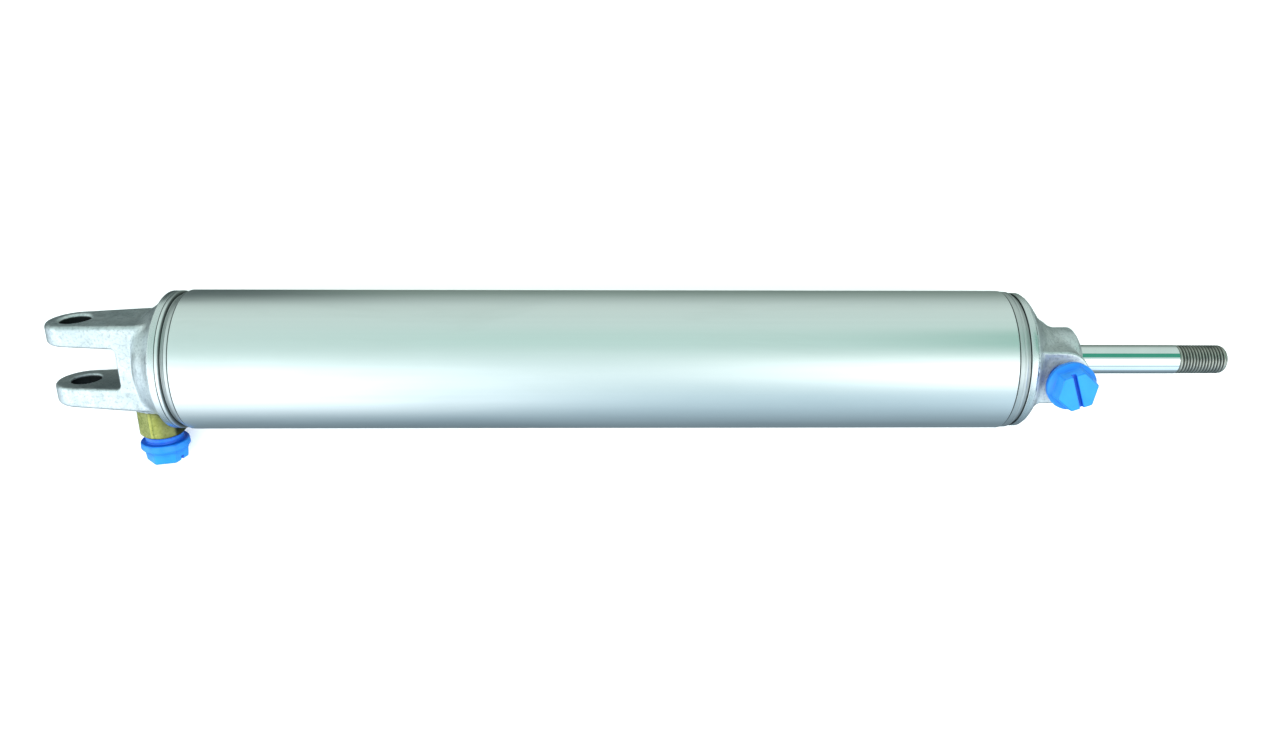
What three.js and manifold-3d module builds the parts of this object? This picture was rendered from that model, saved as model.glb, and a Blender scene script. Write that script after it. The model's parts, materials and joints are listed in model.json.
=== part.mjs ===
// A double-acting pneumatic cylinder: a round tube rolled over two cast end caps, with a clevis at
// the rear and a plug in each of its two ports.
//
// Lengths are in millimetres. The cylinder is built with x along its axis, counted from the clevis
// pin's axis, with y along the clevis pin and z towards the front port. At the end it is rolled about
// its axis to the way it lies on a table, resting on its tube and on the corner of its rear plug, and
// moved so that the origin is on the table, under the middle of the part.

import * as THREE from 'three';
import { mergeVertices } from 'three/addons/utils/BufferGeometryUtils.js';
import Module from 'manifold-3d';

const wasm = await Module();
wasm.setup();

// Driving dimensions
const BORE_R = 31.5;
const TUBE_WALL = 2;
const TUBE_START = 47.7;
const TUBE_LENGTH = 398.5;
const ROD_R = 7;
const STROKE = 320;
const ROD_OUT_AT_REST = 20;
const GAP = 0.3; // between pieces that rest on each other
const RUNNING_GAP = 0.06; // around the rod

// Tube
const TUBE_R = BORE_R + TUBE_WALL;
const TUBE_END = TUBE_START + TUBE_LENGTH;
const ROLL_DEPTH = 1.3;

// Caps
const SPIGOT_R = BORE_R - GAP;
const SPIGOT_LENGTH = 23.8;
const REAR_SPIGOT_END = TUBE_START + SPIGOT_LENGTH;
const FRONT_SPIGOT_END = TUBE_END - SPIGOT_LENGTH;
const CAP_FLANGE_R = 32.8;
const PASSAGE_R = 3;

// Clevis
const PIN_R = 7;
const CLEVIS_THICKNESS = 41.5;
const SLOT_WIDTH = 20;
const SLOT_DEPTH = 22.5;
const SLOT_CORNER_R = 2.5;
const EAR_TIP = 13.6;
const EAR_HALF_WIDTH = 13;
const CLEVIS_ROOT_HALF_WIDTH = 15.5;

// Ports, measured outwards from the cylinder's axis
const PORT_HOLE_R = 6.6;
const PORT_HOLE_BOTTOM = 14.4;
const REAR_PORT_X = 32.8;
const REAR_SEAT = 23.4;
const ADAPTER_START = 24.6;
const REAR_BOSS_R = 11.9;
const ADAPTER_ACROSS_FLATS = 19;
const ADAPTER_TOP = 38.2;
const ADAPTER_TURN = 36;
const FRONT_PORT_X = 463.9;
const FRONT_FACE = 26;
const FRONT_SEAT = 30; // the front plug stands off its boss
const FRONT_BOSS_R = 13.2;

// Plug, measured outwards from where its shoulder stands
const PLUG_SHANK = 10;
const PLUG_NECK_R = 8.8;
const PLUG_NECK = 3.2;
const PLUG_FLANGE_R = 11.4;
const PLUG_FLANGE = 8;
const PLUG_ACROSS_FLATS = 17;
const PLUG_TOP = 13.9;
const REAR_PLUG_TURN = -75;
const FRONT_PLUG_TURN = -70;

// Piston and its stops
const BUMPER_PROUD = 1.5;
const BUMPER_DEPTH = 2.5;
const BUMPER_INNER_R = 21.3;
const BUMPER_OUTER_R = 26;
const REAR_STOP = REAR_SPIGOT_END + BUMPER_PROUD + GAP;
const FRONT_STOP = FRONT_SPIGOT_END - BUMPER_PROUD - GAP;
const PISTON_LENGTH = FRONT_STOP - REAR_STOP - STROKE;
const PISTON_START = REAR_STOP + ROD_OUT_AT_REST;
const PISTON_END = PISTON_START + PISTON_LENGTH;
const PISTON_R = 31;
const PISTON_RING_R = 31.35;
const SEAL_GROOVE_R = 25.5;
const SEAL_GROOVE_START = 2;
const SEAL_GROOVE_END = 7.4;
const GUIDE_STEP = 9;
const GUIDE_GROOVE_R = 28.6;
const ROD_SEAT_R = 5;

// Rod
const ROD_SHOULDER = PISTON_END + GAP;
const ROD_SEAT_LENGTH = 38;
const THREAD_START = 529.2;
const ROD_TIP = 553.9;
const THREAD_R = 6.9;
const ROD_TIP_R = 4.3;

// Front cap's bore and what is stacked in it, from the chamber to the nose
const GLAND_R = 11.1;
const GLAND_END = 476;
const NOSE_R = 15.7;
const NOSE_END = 480.3;
const NOSE_MOUTH_R = 7.8;
const CLIP_X = 426;
const CLIP_THICKNESS = 1.5;
const BUSHING_LENGTH = 32;
const SEAL_WASHER = 1.5;
const ROD_SEAL = 6.5;
const WIPER = 5.5;

// Facets around a circle
const COARSE = 18;
const MEDIUM = 24;
const FINE = 36;

const radians = THREE.MathUtils.degToRad;

/** Makes a solid of a closed geometry, with its faces pointing outwards. */
function solid(geometry) {
  geometry.deleteAttribute('normal');
  geometry.deleteAttribute('uv');
  const merged = mergeVertices(geometry, 1e-4);
  const points = merged.attributes.position.array;
  const corners = merged.index.array;
  const triangles = [];
  const [a, b, c] = [new THREE.Vector3(), new THREE.Vector3(), new THREE.Vector3()];
  let volume = 0;
  for (let i = 0; i < corners.length; i += 3) {
    const [p, q, r] = corners.slice(i, i + 3);
    if (p === q || q === r || r === p) continue;
    triangles.push([p, q, r]);
    volume += a.fromArray(points, 3 * p).dot(b.fromArray(points, 3 * q).cross(c.fromArray(points, 3 * r)));
  }
  const outward = volume > 0 ? triangles : triangles.map(([p, q, r]) => [p, r, q]);
  return new wasm.Manifold(new wasm.Mesh({
    numProp: 3,
    vertProperties: Float32Array.from(points),
    triVerts: Uint32Array.from(outward.flat()),
  }));
}

/** Names a solid and gives it its material. */
function piece(name, shape, material) {
  const mesh = shape.getMesh();
  const geometry = new THREE.BufferGeometry();
  geometry.setAttribute('position', new THREE.BufferAttribute(mesh.vertProperties, 3));
  geometry.setIndex(new THREE.BufferAttribute(mesh.triVerts, 1));
  geometry.computeVertexNormals();
  const result = new THREE.Mesh(geometry, material);
  result.name = name;
  return result;
}

/** Turns a profile of [x, radius] points about the x axis. */
function turnedGeometry(profile, facets) {
  const points = profile.map(([x, radius]) => new THREE.Vector2(radius, x));
  return new THREE.LatheGeometry(points, facets).rotateZ(-Math.PI / 2);
}

function turned(profile, facets) {
  return solid(turnedGeometry(profile, facets));
}

/** A plain round bar about the x axis. */
function bar(start, end, radius, facets) {
  return turned([[start, 0], [start, radius], [end, radius], [end, 0]], facets);
}

/** A ring of rectangular section, whose hole clears a shaft of the inner radius all round. */
function ring(start, end, innerR, outerR, facets) {
  const hole = innerR / Math.cos(Math.PI / facets);
  return turned([[start, hole], [start, outerR], [end, outerR], [end, hole], [start, hole]], facets);
}

/** A ring of round section about the x axis. */
function oRing(x, middleR, sectionR, facets) {
  const sides = 5;
  const profile = [];
  for (let i = 0; i <= sides; i += 1) {
    const angle = (i % sides) * (2 * Math.PI / sides);
    profile.push([x + sectionR * Math.cos(angle), middleR + sectionR * Math.sin(angle)]);
  }
  return turned(profile, facets);
}

/** A lip seal about the x axis: a ring with a notch in one end, towards the pressure. */
function lipSeal(start, end, innerR, outerR, facets) {
  const hole = innerR / Math.cos(Math.PI / facets);
  const middle = (hole + outerR) / 2;
  const lip = (outerR - hole) / 4;
  const root = start + (end - start) * 0.45;
  return turned([
    [start, hole],
    [start, hole + lip],
    [root, middle - lip / 2],
    [root, middle + lip / 2],
    [start, outerR - lip],
    [start, outerR],
    [end, outerR],
    [end, hole],
    [start, hole],
  ], facets);
}

/** A hexagonal bar along x, with one corner at the given angle from y towards z. */
function hexBar(start, end, acrossFlats, turn) {
  const corners = [];
  for (let i = 0; i < 6; i += 1) {
    const angle = radians(turn + 60 * i);
    const radius = acrossFlats / 2 / Math.cos(Math.PI / 6);
    corners.push(new THREE.Vector2(-radius * Math.sin(angle), radius * Math.cos(angle)));
  }
  const settings = { depth: end - start, bevelEnabled: false };
  const blank = new THREE.ExtrudeGeometry(new THREE.Shape(corners), settings);
  return solid(blank.rotateY(Math.PI / 2).translate(start, 0, 0));
}

/** Turns a geometry made along x to point along the rear port, away from the axis. */
function towardsRearPort(geometry) {
  return geometry.rotateZ(-Math.PI / 2).translate(REAR_PORT_X, 0, 0);
}

/** Turns a geometry made along x to point along the front port, away from the axis. */
function towardsFrontPort(geometry) {
  return geometry.rotateY(-Math.PI / 2).translate(FRONT_PORT_X, 0, 0);
}

// Materials

function standard(colour, roughness, metalness) {
  return new THREE.MeshStandardMaterial({ color: colour, roughness, metalness });
}

const drawnAluminium = standard('#c9cfd1', 0.32, 1);
const castAluminium = standard('#a9b3b4', 0.55, 1);
const machinedAluminium = standard('#b9bfc0', 0.35, 1);
const brass = standard('#b0a358', 0.35, 1);
const bluePlastic = standard('#1f8df0', 0.38, 0);
const chrome = standard('#d8dcdc', 0.08, 1);
const zincSteel = standard('#8d9088', 0.45, 1);
const sinteredBronze = standard('#9a7a45', 0.55, 1);
const blackRubber = standard('#1a1a1b', 0.7, 0);
const sealPolyurethane = standard('#3f6f53', 0.5, 0);
const guidePlastic = standard('#d8cfb4', 0.6, 0);

// Pieces of the barrel

/** The outside of the tube at one end, as [distance from the end, radius]. */
const TUBE_LIP = [
  [0, 32.4],
  [0.6, 33.1],
  [2.2, 33.1],
  [3.1, TUBE_R - ROLL_DEPTH],
  [4.7, TUBE_R - ROLL_DEPTH],
];
const ROLL_END = 5.7;

function barrelTube() {
  const outside = [...TUBE_LIP, [ROLL_END, TUBE_R]];
  const inside = [[0, BORE_R], [2.2, BORE_R], [3.1, BORE_R - 1.1], [4.7, BORE_R - 1.1], [ROLL_END, BORE_R]];
  const fromRear = ([distance, radius]) => [TUBE_START + distance, radius];
  const fromFront = ([distance, radius]) => [TUBE_END - distance, radius];
  return turned([
    ...outside.map(fromRear),
    ...outside.map(fromFront).reverse(),
    ...inside.map(fromFront),
    ...inside.map(fromRear).reverse(),
    fromRear(outside[0]),
  ], FINE);
}

/** The spigot that a cap puts into the tube, as [distance from the tube's end, radius]. */
const SPIGOT = [
  [0, SPIGOT_R],
  [1.7, SPIGOT_R],
  [3, 29.9],
  [5, 29.9],
  [6.6, SPIGOT_R],
  [12.3, SPIGOT_R],
  [12.3, 28.4],
  [16.5, 28.4],
  [16.5, SPIGOT_R],
  [SPIGOT_LENGTH - 1, SPIGOT_R],
  [SPIGOT_LENGTH, SPIGOT_R - 1],
];
const CAP_ORING_DISTANCE = 14.4;

/** A groove for the rubber bumper in a cap's end face. */
function bumperGroove(from, to) {
  return ring(from, to, BUMPER_INNER_R - GAP, BUMPER_OUTER_R + GAP, MEDIUM);
}

function clevisBlock() {
  const outline = new THREE.Shape();
  const rootX = REAR_PORT_X + 8;
  outline.moveTo(rootX, -CLEVIS_ROOT_HALF_WIDTH);
  outline.lineTo(rootX, CLEVIS_ROOT_HALF_WIDTH);
  outline.lineTo(SLOT_DEPTH + 6, CLEVIS_ROOT_HALF_WIDTH);
  outline.lineTo(0, EAR_HALF_WIDTH);
  outline.absellipse(0, 0, EAR_TIP, EAR_HALF_WIDTH, Math.PI / 2, 3 * Math.PI / 2, false, 0);
  outline.lineTo(SLOT_DEPTH + 6, -CLEVIS_ROOT_HALF_WIDTH);
  const block = new THREE.ExtrudeGeometry(outline, {
    depth: CLEVIS_THICKNESS,
    bevelEnabled: false,
    curveSegments: 10,
  });
  return solid(block.translate(0, 0, -CLEVIS_THICKNESS / 2).rotateX(Math.PI / 2));
}

/** The slot between the ears, with rounded corners at its root. */
function clevisSlot() {
  const half = SLOT_WIDTH / 2;
  const mouth = -EAR_TIP - 5;
  const outline = new THREE.Shape();
  outline.moveTo(mouth, -half);
  outline.lineTo(SLOT_DEPTH - SLOT_CORNER_R, -half);
  outline.absarc(SLOT_DEPTH - SLOT_CORNER_R, -half + SLOT_CORNER_R, SLOT_CORNER_R, -Math.PI / 2, 0, false);
  outline.absarc(SLOT_DEPTH - SLOT_CORNER_R, half - SLOT_CORNER_R, SLOT_CORNER_R, 0, Math.PI / 2, false);
  outline.lineTo(mouth, half);
  const width = 3 * CLEVIS_ROOT_HALF_WIDTH;
  const slot = new THREE.ExtrudeGeometry(outline, { depth: width, bevelEnabled: false, curveSegments: 3 });
  return solid(slot.translate(0, 0, -width / 2));
}

function pinHole() {
  const hole = new THREE.CylinderGeometry(PIN_R, PIN_R, 2 * CLEVIS_THICKNESS, COARSE);
  return solid(hole);
}

function rearCap() {
  const dome = [
    [44.4, CAP_FLANGE_R],
    [43.9, 31.7],
    [42, 29.7],
    [40, 27.9],
    [38, 26.5],
    [36, 25.2],
    [34, 23.6],
    [32.2, 21.3],
  ];
  const flangeFace = TUBE_START - GAP;
  const body = turned([
    [REAR_SPIGOT_END, 0],
    ...SPIGOT.slice(1).map(([distance, radius]) => [TUBE_START + distance, radius]).reverse(),
    [flangeFace, SPIGOT_R],
    [flangeFace, CAP_FLANGE_R],
    ...dome,
    [31.2, 18],
    [31.2, 0],
  ], FINE);
  const bossProfile = [[0, 0], [0, REAR_BOSS_R], [REAR_SEAT, REAR_BOSS_R], [REAR_SEAT, 0]];
  const boss = towardsRearPort(turnedGeometry(bossProfile, COARSE));
  const seatProfile = [[REAR_SEAT, 0], [REAR_SEAT, 11.4], [40, 11.4], [40, 0]];
  const seat = towardsRearPort(turnedGeometry(seatProfile, COARSE));
  const port = towardsRearPort(turnedGeometry([
    [-PASSAGE_R, 0],
    [-PASSAGE_R, PASSAGE_R],
    [PORT_HOLE_BOTTOM, PASSAGE_R],
    [PORT_HOLE_BOTTOM, PORT_HOLE_R],
    [REAR_SEAT + 1, PORT_HOLE_R],
    [REAR_SEAT + 1, 0],
  ], COARSE));
  const chamber = turned([
    [REAR_PORT_X, 0],
    [REAR_PORT_X, PASSAGE_R],
    [58, PASSAGE_R],
    [58, 16],
    [REAR_SPIGOT_END + 1, 16],
    [REAR_SPIGOT_END + 1, 0],
  ], COARSE);
  const groove = bumperGroove(REAR_SPIGOT_END - BUMPER_DEPTH, REAR_SPIGOT_END + 1);
  return body
    .add(clevisBlock())
    .add(solid(boss))
    .subtract(clevisSlot())
    .subtract(pinHole())
    .subtract(solid(seat))
    .subtract(solid(port))
    .subtract(chamber)
    .subtract(groove);
}

/** The boss around the front port, with flat sides running back into the cap. */
function frontBoss() {
  const back = TUBE_END + 2;
  const outline = new THREE.Shape();
  outline.moveTo(back, -FRONT_BOSS_R);
  outline.absarc(FRONT_PORT_X, 0, FRONT_BOSS_R, -Math.PI / 2, Math.PI / 2, false);
  outline.lineTo(back, FRONT_BOSS_R);
  const settings = { depth: FRONT_FACE, bevelEnabled: false, curveSegments: 10 };
  const boss = new THREE.ExtrudeGeometry(outline, settings);
  return solid(boss);
}

function frontCap() {
  const flangeFace = TUBE_END + GAP;
  const dome = [[450.2, 32.2], [452, 29.9], [456, 24.4], [458, 21.9], [460, 20.3], [462, 19], [464, 17.6]];
  const nose = [[467.2, NOSE_R], [475.9, NOSE_R], [477.2, 14.2], [478.7, 11.8], [NOSE_END, NOSE_MOUTH_R + 1]];
  const body = turned([
    [FRONT_SPIGOT_END, 0],
    ...SPIGOT.slice(1).map(([distance, radius]) => [TUBE_END - distance, radius]).reverse(),
    [flangeFace, SPIGOT_R],
    [flangeFace, CAP_FLANGE_R - 0.4],
    ...dome,
    ...nose,
    [NOSE_END, 0],
  ], FINE);
  const gland = turned([
    [FRONT_SPIGOT_END - 1, 0],
    [FRONT_SPIGOT_END - 1, GLAND_R],
    [CLIP_X - GAP, GLAND_R],
    [CLIP_X - GAP, GLAND_R + 1],
    [CLIP_X + CLIP_THICKNESS + GAP, GLAND_R + 1],
    [CLIP_X + CLIP_THICKNESS + GAP, GLAND_R],
    [GLAND_END, GLAND_R],
    [GLAND_END, NOSE_MOUTH_R],
    [NOSE_END + 1, NOSE_MOUTH_R],
    [NOSE_END + 1, 0],
  ], MEDIUM);
  const port = towardsFrontPort(turnedGeometry([
    [PORT_HOLE_BOTTOM, 0],
    [PORT_HOLE_BOTTOM, PORT_HOLE_R],
    [FRONT_FACE - 1.5, PORT_HOLE_R],
    [FRONT_FACE + 1, PORT_HOLE_R + 2.5],
    [40, PORT_HOLE_R + 2.5],
    [40, 0],
  ], COARSE));
  const seatProfile = [[FRONT_FACE, 0], [FRONT_FACE, 12.3], [40, 12.3], [40, 0]];
  const seat = towardsFrontPort(turnedGeometry(seatProfile, COARSE));
  const passageStart = FRONT_SPIGOT_END - 1;
  const passage = turnedGeometry([
    [passageStart, 0],
    [passageStart, PASSAGE_R],
    [FRONT_PORT_X, PASSAGE_R],
    [FRONT_PORT_X, 0],
  ], 12);
  const groove = bumperGroove(FRONT_SPIGOT_END - 1, FRONT_SPIGOT_END + BUMPER_DEPTH);
  return body
    .add(frontBoss())
    .subtract(gland)
    .subtract(solid(seat))
    .subtract(solid(port))
    .subtract(solid(passage.translate(0, 0, PORT_HOLE_BOTTOM + PASSAGE_R)))
    .subtract(groove);
}

/** The brass adapter, along x from the cylinder's axis outwards. */
function portAdapter() {
  const chamfer = turned([
    [ADAPTER_START, 0],
    [ADAPTER_START, 10.2],
    [ADAPTER_START + 0.6, 11.5],
    [ADAPTER_TOP - 1.6, 11.5],
    [ADAPTER_TOP, 9.2],
    [ADAPTER_TOP, 0],
  ], COARSE);
  const shank = turned([
    [PORT_HOLE_BOTTOM + 1, 0],
    [PORT_HOLE_BOTTOM + 1, PORT_HOLE_R - GAP - 0.6],
    [PORT_HOLE_BOTTOM + 1.8, PORT_HOLE_R - GAP],
    [ADAPTER_START + 1, PORT_HOLE_R - GAP],
    [ADAPTER_START + 1, 0],
  ], COARSE);
  const hole = turned([
    [0, 0],
    [0, PASSAGE_R],
    [ADAPTER_TOP - 11, PASSAGE_R],
    [ADAPTER_TOP - 11, PORT_HOLE_R],
    [ADAPTER_TOP - 2, PORT_HOLE_R],
    [ADAPTER_TOP - 2, PORT_HOLE_R + 1.5],
    [ADAPTER_TOP + 1, PORT_HOLE_R + 1.5],
    [ADAPTER_TOP + 1, 0],
  ], COARSE);
  const body = hexBar(ADAPTER_START, ADAPTER_TOP, ADAPTER_ACROSS_FLATS, ADAPTER_TURN).intersect(chamfer);
  return body.add(shank).subtract(hole);
}

/** The plastic plug, along x from where its shoulder stands outwards. */
function portPlug(turn) {
  const body = turned([
    [-PLUG_SHANK, 0],
    [-PLUG_SHANK, PORT_HOLE_R - GAP - 0.8],
    [1 - PLUG_SHANK, PORT_HOLE_R - GAP],
    [GAP, PORT_HOLE_R - GAP],
    [GAP, PLUG_NECK_R],
    [PLUG_NECK, PLUG_NECK_R],
    [PLUG_NECK, PLUG_FLANGE_R - 0.4],
    [PLUG_NECK + 0.5, PLUG_FLANGE_R],
    [PLUG_FLANGE - 1.6, PLUG_FLANGE_R],
    [PLUG_FLANGE, PLUG_FLANGE_R - 1.9],
    [PLUG_FLANGE, 0],
  ], MEDIUM);
  const head = hexBar(PLUG_FLANGE - 1, PLUG_TOP, PLUG_ACROSS_FLATS, turn);
  const slot = new THREE.BoxGeometry(4, 1.4, 3 * PLUG_FLANGE_R);
  return body.add(head).subtract(solid(slot.rotateX(radians(turn)).translate(PLUG_TOP, 0, 0)));
}

// Pieces that slide, and pieces that slide and turn

/** One half of the piston, as [distance from its outer face, radius], with its seal's groove. */
const PISTON_HALF = [
  [0, PISTON_R - 1],
  [1, PISTON_R],
  [SEAL_GROOVE_START, PISTON_R],
  [SEAL_GROOVE_START, SEAL_GROOVE_R],
  [SEAL_GROOVE_END, SEAL_GROOVE_R],
  [SEAL_GROOVE_END, PISTON_R],
  [GUIDE_STEP, PISTON_R],
  [GUIDE_STEP, GUIDE_GROOVE_R],
  [(PISTON_LENGTH - GAP) / 2, GUIDE_GROOVE_R],
];

function pistonHalf(place, jointRecess) {
  const seatR = ROD_SEAT_R + GAP;
  const joint = (PISTON_LENGTH - GAP) / 2;
  const inner = jointRecess
    ? [[joint, seatR + 2.2], [joint - 2.2, seatR + 2.2], [joint - 2.2, seatR], [0, seatR]]
    : [[joint, seatR], [0, seatR]];
  const profile = [...PISTON_HALF, ...inner, PISTON_HALF[0]];
  return turned(profile.map(place), MEDIUM);
}

const fromPistonStart = ([distance, radius]) => [PISTON_START + distance, radius];
const fromPistonEnd = ([distance, radius]) => [PISTON_END - distance, radius];

function pistonRod() {
  const seatEnd = ROD_SHOULDER - ROD_SEAT_LENGTH;
  return turned([
    [seatEnd, 0],
    [seatEnd, ROD_SEAT_R - 1],
    [seatEnd + 1, ROD_SEAT_R],
    [ROD_SHOULDER, ROD_SEAT_R],
    [ROD_SHOULDER, ROD_R],
    [THREAD_START, ROD_R],
    [THREAD_START, THREAD_R],
    [ROD_TIP - 2.6, THREAD_R],
    [ROD_TIP - 0.8, ROD_TIP_R + 1],
    [ROD_TIP, ROD_TIP_R],
    [ROD_TIP, 0],
  ], MEDIUM);
}

function pistonNut(end) {
  const thickness = 6;
  const hole = bar(end - thickness - 1, end + 1, ROD_SEAT_R + GAP, COARSE);
  const blank = turned([
    [end - thickness, 0],
    [end - thickness, 8.4],
    [end - thickness + 0.9, 9.9],
    [end, 9.9],
    [end, 0],
  ], COARSE);
  return hexBar(end - thickness, end, 17, 0).intersect(blank).subtract(hole);
}

// How it lies: rolled until the lowest corner of the rear plug's head is level with a flat facet of the tube
const facetTurn = Math.PI / FINE;
const tubeHeight = TUBE_R * Math.cos(facetTurn);
const plugTopFromAxis = ADAPTER_TOP + PLUG_TOP;
const plugCornerR = PLUG_ACROSS_FLATS / 2 / Math.cos(Math.PI / 6);
const lowestCorner = plugCornerR * -Math.sin(radians(REAR_PLUG_TURN));
const cornerReach = Math.hypot(plugTopFromAxis, lowestCorner);
const layAngle = Math.asin(tubeHeight / cornerReach) - Math.atan2(lowestCorner, plugTopFromAxis);

// Assembly

const cylinder = new THREE.Group();

const tube = piece('barrel_tube', barrelTube(), drawnAluminium);
tube.rotation.x = facetTurn - layAngle;
cylinder.add(tube);
cylinder.add(piece('rear_cap', rearCap(), castAluminium));
cylinder.add(piece('front_cap', frontCap(), castAluminium));

const capSeals = [
  ['rear_cap_oring', TUBE_START + CAP_ORING_DISTANCE],
  ['front_cap_oring', TUBE_END - CAP_ORING_DISTANCE],
];
for (const [name, x] of capSeals) {
  cylinder.add(piece(name, oRing(x, 29.95, 1.35, FINE), blackRubber));
}

const bumpers = [
  ['rear_bumper', REAR_SPIGOT_END - BUMPER_DEPTH + GAP, REAR_SPIGOT_END + BUMPER_PROUD],
  ['front_bumper', FRONT_SPIGOT_END - BUMPER_PROUD, FRONT_SPIGOT_END + BUMPER_DEPTH - GAP],
];
for (const [name, start, end] of bumpers) {
  cylinder.add(piece(name, ring(start, end, BUMPER_INNER_R, BUMPER_OUTER_R, MEDIUM), blackRubber));
}

// The rear port's adapter, seal and plug, along the port's own x
const rearPort = new THREE.Group();
rearPort.position.x = REAR_PORT_X;
rearPort.rotation.z = -Math.PI / 2;
rearPort.add(piece('rear_port_adapter', portAdapter(), brass));
const adapterSeal = ring(REAR_SEAT + GAP, ADAPTER_START - GAP, PORT_HOLE_R, 9, COARSE);
rearPort.add(piece('rear_adapter_seal', adapterSeal, blackRubber));
cylinder.add(rearPort);

// The front port points along z
const frontPort = new THREE.Group();
frontPort.position.x = FRONT_PORT_X;
frontPort.rotation.y = -Math.PI / 2;
cylinder.add(frontPort);

const plugs = [
  ['rear', rearPort, ADAPTER_TOP, REAR_PLUG_TURN],
  ['front', frontPort, FRONT_SEAT, FRONT_PLUG_TURN],
];
for (const [end, port, seat, turn] of plugs) {
  const plug = piece(`${end}_port_plug`, portPlug(turn), bluePlastic);
  const seal = piece(`${end}_plug_seal`, oRing(-0.85, PORT_HOLE_R + 0.65, 0.6, COARSE), blackRubber);
  plug.position.x = seat;
  seal.position.x = seat;
  port.add(plug, seal);
}

// What is stacked in the front cap's bore, from the chamber towards the nose
const stack = [
  ['bushing_clip', CLIP_THICKNESS, ROD_R + 1, GLAND_R + 1 - GAP, zincSteel, ring],
  ['rod_bushing', BUSHING_LENGTH, ROD_R + RUNNING_GAP, GLAND_R - GAP, sinteredBronze, ring],
  ['seal_washer', SEAL_WASHER, ROD_R + 0.4, GLAND_R - GAP, zincSteel, ring],
  ['rod_seal', ROD_SEAL, ROD_R + RUNNING_GAP, GLAND_R - GAP, sealPolyurethane, lipSeal],
  ['wiper_washer', SEAL_WASHER, ROD_R + 0.4, GLAND_R - GAP, zincSteel, ring],
  ['rod_wiper', WIPER, ROD_R + RUNNING_GAP, GLAND_R - GAP, sealPolyurethane, ring],
];
let stackX = CLIP_X;
for (const [name, length, innerR, outerR, material, shape] of stack) {
  cylinder.add(piece(name, shape(stackX, stackX + length, innerR, outerR, MEDIUM), material));
  stackX += length + GAP;
}

// Piston rings
const sealEnd = SEAL_GROOVE_END - GAP;
const sealStart = SEAL_GROOVE_START + GAP;
const sealInnerR = SEAL_GROOVE_R + GAP;
const rearSeal = lipSeal(PISTON_START + sealStart, PISTON_START + sealEnd, sealInnerR, PISTON_RING_R, FINE);
const frontSeal = lipSeal(PISTON_END - sealStart, PISTON_END - sealEnd, sealInnerR, PISTON_RING_R, FINE);
const guideStart = PISTON_START + GUIDE_STEP + GAP;
const guideEnd = PISTON_END - GUIDE_STEP - GAP;
const guide = ring(guideStart, guideEnd, GUIDE_GROOVE_R + GAP, PISTON_RING_R, FINE);
cylinder.add(piece('piston_seal_rear', rearSeal, blackRubber));
cylinder.add(piece('piston_seal_front', frontSeal, blackRubber));
cylinder.add(piece('piston_guide_ring', guide, guidePlastic));

// Rod and piston
cylinder.add(piece('piston_rod', pistonRod(), chrome));
cylinder.add(piece('piston_rear_half', pistonHalf(fromPistonStart, false), machinedAluminium));
cylinder.add(piece('piston_front_half', pistonHalf(fromPistonEnd, true), machinedAluminium));
const pistonMiddle = (PISTON_START + PISTON_END) / 2;
cylinder.add(piece('piston_oring', oRing(pistonMiddle + 1.4, ROD_SEAT_R + 1.35, 0.95, COARSE), blackRubber));
const washerEnd = PISTON_START - GAP;
const washerStart = washerEnd - 2;
cylinder.add(piece('piston_washer', ring(washerStart, washerEnd, ROD_SEAT_R + GAP, 12, COARSE), zincSteel));
cylinder.add(piece('piston_nut', pistonNut(washerStart - GAP), zincSteel));

cylinder.rotation.x = layAngle;

// Origin on the table, under the middle of the part
const part = new THREE.Group();
part.add(cylinder);
const bounds = new THREE.Box3().setFromObject(part, true);
const middle = bounds.getCenter(new THREE.Vector3());
cylinder.position.set(-middle.x, -middle.y, -bounds.min.z);

export default part;
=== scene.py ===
"""The looks of a pneumatic cylinder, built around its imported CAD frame.

Shapes are worked out in millimetres in the cylinder's own frame, and placed in the row frame in metres:
x runs along the cylinder from the clevis pin's axis, y along the pin, and z towards the front port.
"""

import json
import math

import bpy
import numpy as np
from mathutils import Matrix, Vector


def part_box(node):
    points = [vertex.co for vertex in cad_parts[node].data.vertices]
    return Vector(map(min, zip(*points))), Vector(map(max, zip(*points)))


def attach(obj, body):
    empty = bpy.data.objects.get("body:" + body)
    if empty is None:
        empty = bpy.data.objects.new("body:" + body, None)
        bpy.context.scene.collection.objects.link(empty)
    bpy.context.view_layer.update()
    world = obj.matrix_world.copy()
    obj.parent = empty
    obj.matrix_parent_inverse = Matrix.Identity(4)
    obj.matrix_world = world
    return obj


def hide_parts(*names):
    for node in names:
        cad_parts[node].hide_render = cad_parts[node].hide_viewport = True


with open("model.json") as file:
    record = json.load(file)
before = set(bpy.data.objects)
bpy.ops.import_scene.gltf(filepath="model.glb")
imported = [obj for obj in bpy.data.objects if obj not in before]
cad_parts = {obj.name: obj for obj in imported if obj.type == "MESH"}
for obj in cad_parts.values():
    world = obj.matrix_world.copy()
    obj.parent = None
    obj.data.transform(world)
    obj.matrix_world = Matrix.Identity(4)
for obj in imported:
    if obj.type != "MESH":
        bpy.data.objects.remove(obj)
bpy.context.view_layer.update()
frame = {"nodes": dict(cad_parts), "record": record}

MM = 0.001

# The camera, from the cylinder's axis
CAMERA_DISTANCE = 0.5096
CAMERA_ELEVATION = math.radians(81.75)
CAMERA_LENS = 29.53
CAMERA_X = 0.2543
CAMERA_UP = -0.0031
CAMERA_YAW = math.radians(1.424)

# Clevis
EAR_TIP = 13.6
EAR_HALF_WIDTH = 13.0
ROOT_HALF_WIDTH = 15.5
CLEVIS_HALF = 20.4
SLOT_HALF = 10.0
SLOT_DEPTH = 22.5
SLOT_CORNER_R = 1.9
PIN_R = 7.0
COUNTERSINK = 1.0

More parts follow.
